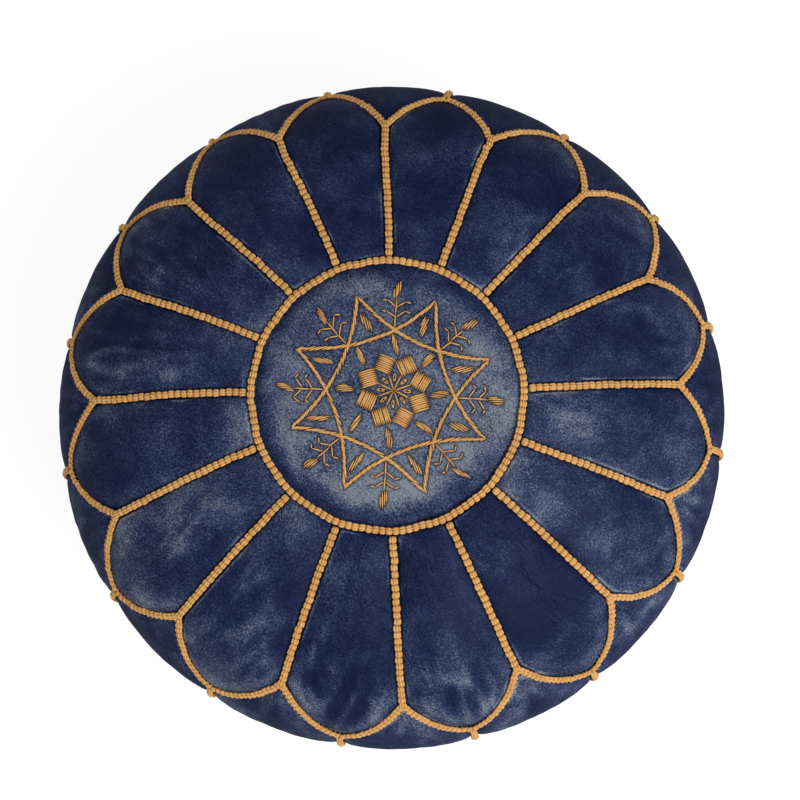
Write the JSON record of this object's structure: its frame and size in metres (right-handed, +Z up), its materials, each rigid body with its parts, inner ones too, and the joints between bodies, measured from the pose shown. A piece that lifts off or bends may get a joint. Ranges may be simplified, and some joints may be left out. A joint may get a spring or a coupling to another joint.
{
  "type": "moroccan leather pouf",
  "caption": "Round stuffed leather pouf with braided seams between its petals and side panels, an embroidered medallion on top and a zipped base.",
  "frame": {"origin": "centre of the resting ring, on the floor", "axes": "+Z up through the middle of the medallion, X along the zip, which closes towards +X"},
  "size_m": [0.526, 0.526, 0.2932],
  "materials": {
    "navy_leather": "waxed, mottled goat leather with a soft sheen",
    "gold_thread": "silky twisted thread",
    "gold_braid": "silky thread worked over a ridge",
    "cotton_cloth": "plain woven cotton",
    "cotton_filling": "loose cotton",
    "zip_tape": "woven tape",
    "brass": "satin brass"
  },
  "bodies": {
    "pouf": {"medallion": "navy_leather", "top_petal_01": "navy_leather", "top_petal_02": "navy_leather", "top_petal_03": "navy_leather", "top_petal_04": "navy_leather", "top_petal_05": "navy_leather", "top_petal_06": "navy_leather", "top_petal_07": "navy_leather", "top_petal_08": "navy_leather", "top_petal_09": "navy_leather", "top_petal_10": "navy_leather", "top_petal_11": "navy_leather", "top_petal_12": "navy_leather", "top_petal_13": "navy_leather", "top_petal_14": "navy_leather", "top_petal_15": "navy_leather", "top_petal_16": "navy_leather", "side_panel_01": "navy_leather", "side_panel_02": "navy_leather", "side_panel_03": "navy_leather", "side_panel_04": "navy_leather", "side_panel_05": "navy_leather", "side_panel_06": "navy_leather", "side_panel_07": "navy_leather", "side_panel_08": "navy_leather", "side_panel_09": "navy_leather", "side_panel_10": "navy_leather", "side_panel_11": "navy_leather", "side_panel_12": "navy_leather", "side_panel_13": "navy_leather", "side_panel_14": "navy_leather", "side_panel_15": "navy_leather", "side_panel_16": "navy_leather", "bottom_petals": "navy_leather", "base_panel_left": "navy_leather", "base_panel_right": "navy_leather", "embroidery_star": "gold_thread", "embroidery_rosette": "gold_thread", "embroidery_leaves": "gold_thread", "embroidery_sprigs": "gold_thread", "zip_stitching": "gold_thread", "top_ring_braid": "gold_braid", "top_spoke_braids": "gold_braid", "top_scallop_braids": "gold_braid", "side_seam_braids": "gold_braid", "bottom_scallop_braids": "gold_braid", "bottom_spoke_braids": "gold_braid", "bottom_ring_braid": "gold_braid", "cotton_lining": "cotton_cloth", "filling": "cotton_filling", "zip_tape_left": "zip_tape", "zip_tape_right": "zip_tape", "zip_teeth_left": "brass", "zip_teeth_right": "brass", "zip_top_stops": "brass", "zip_bottom_stop": "brass"},
    "slider": {"zip_slider": "brass"},
    "pull_tab": {"zip_pull_tab": "brass"}
  },
  "joints": [
    {"name": "zip_slide", "type": "slide", "parent": "pouf", "child": "slider", "axis": [-1, 0, 0], "range_m": [0, 0.224]},
    {"name": "pull_tab_hinge", "type": "hinge", "parent": "slider", "child": "pull_tab", "pos_m": [0.113, 0, 0.0063], "axis": [0, -1, 0], "range_deg": [0, 180]}
  ]
}
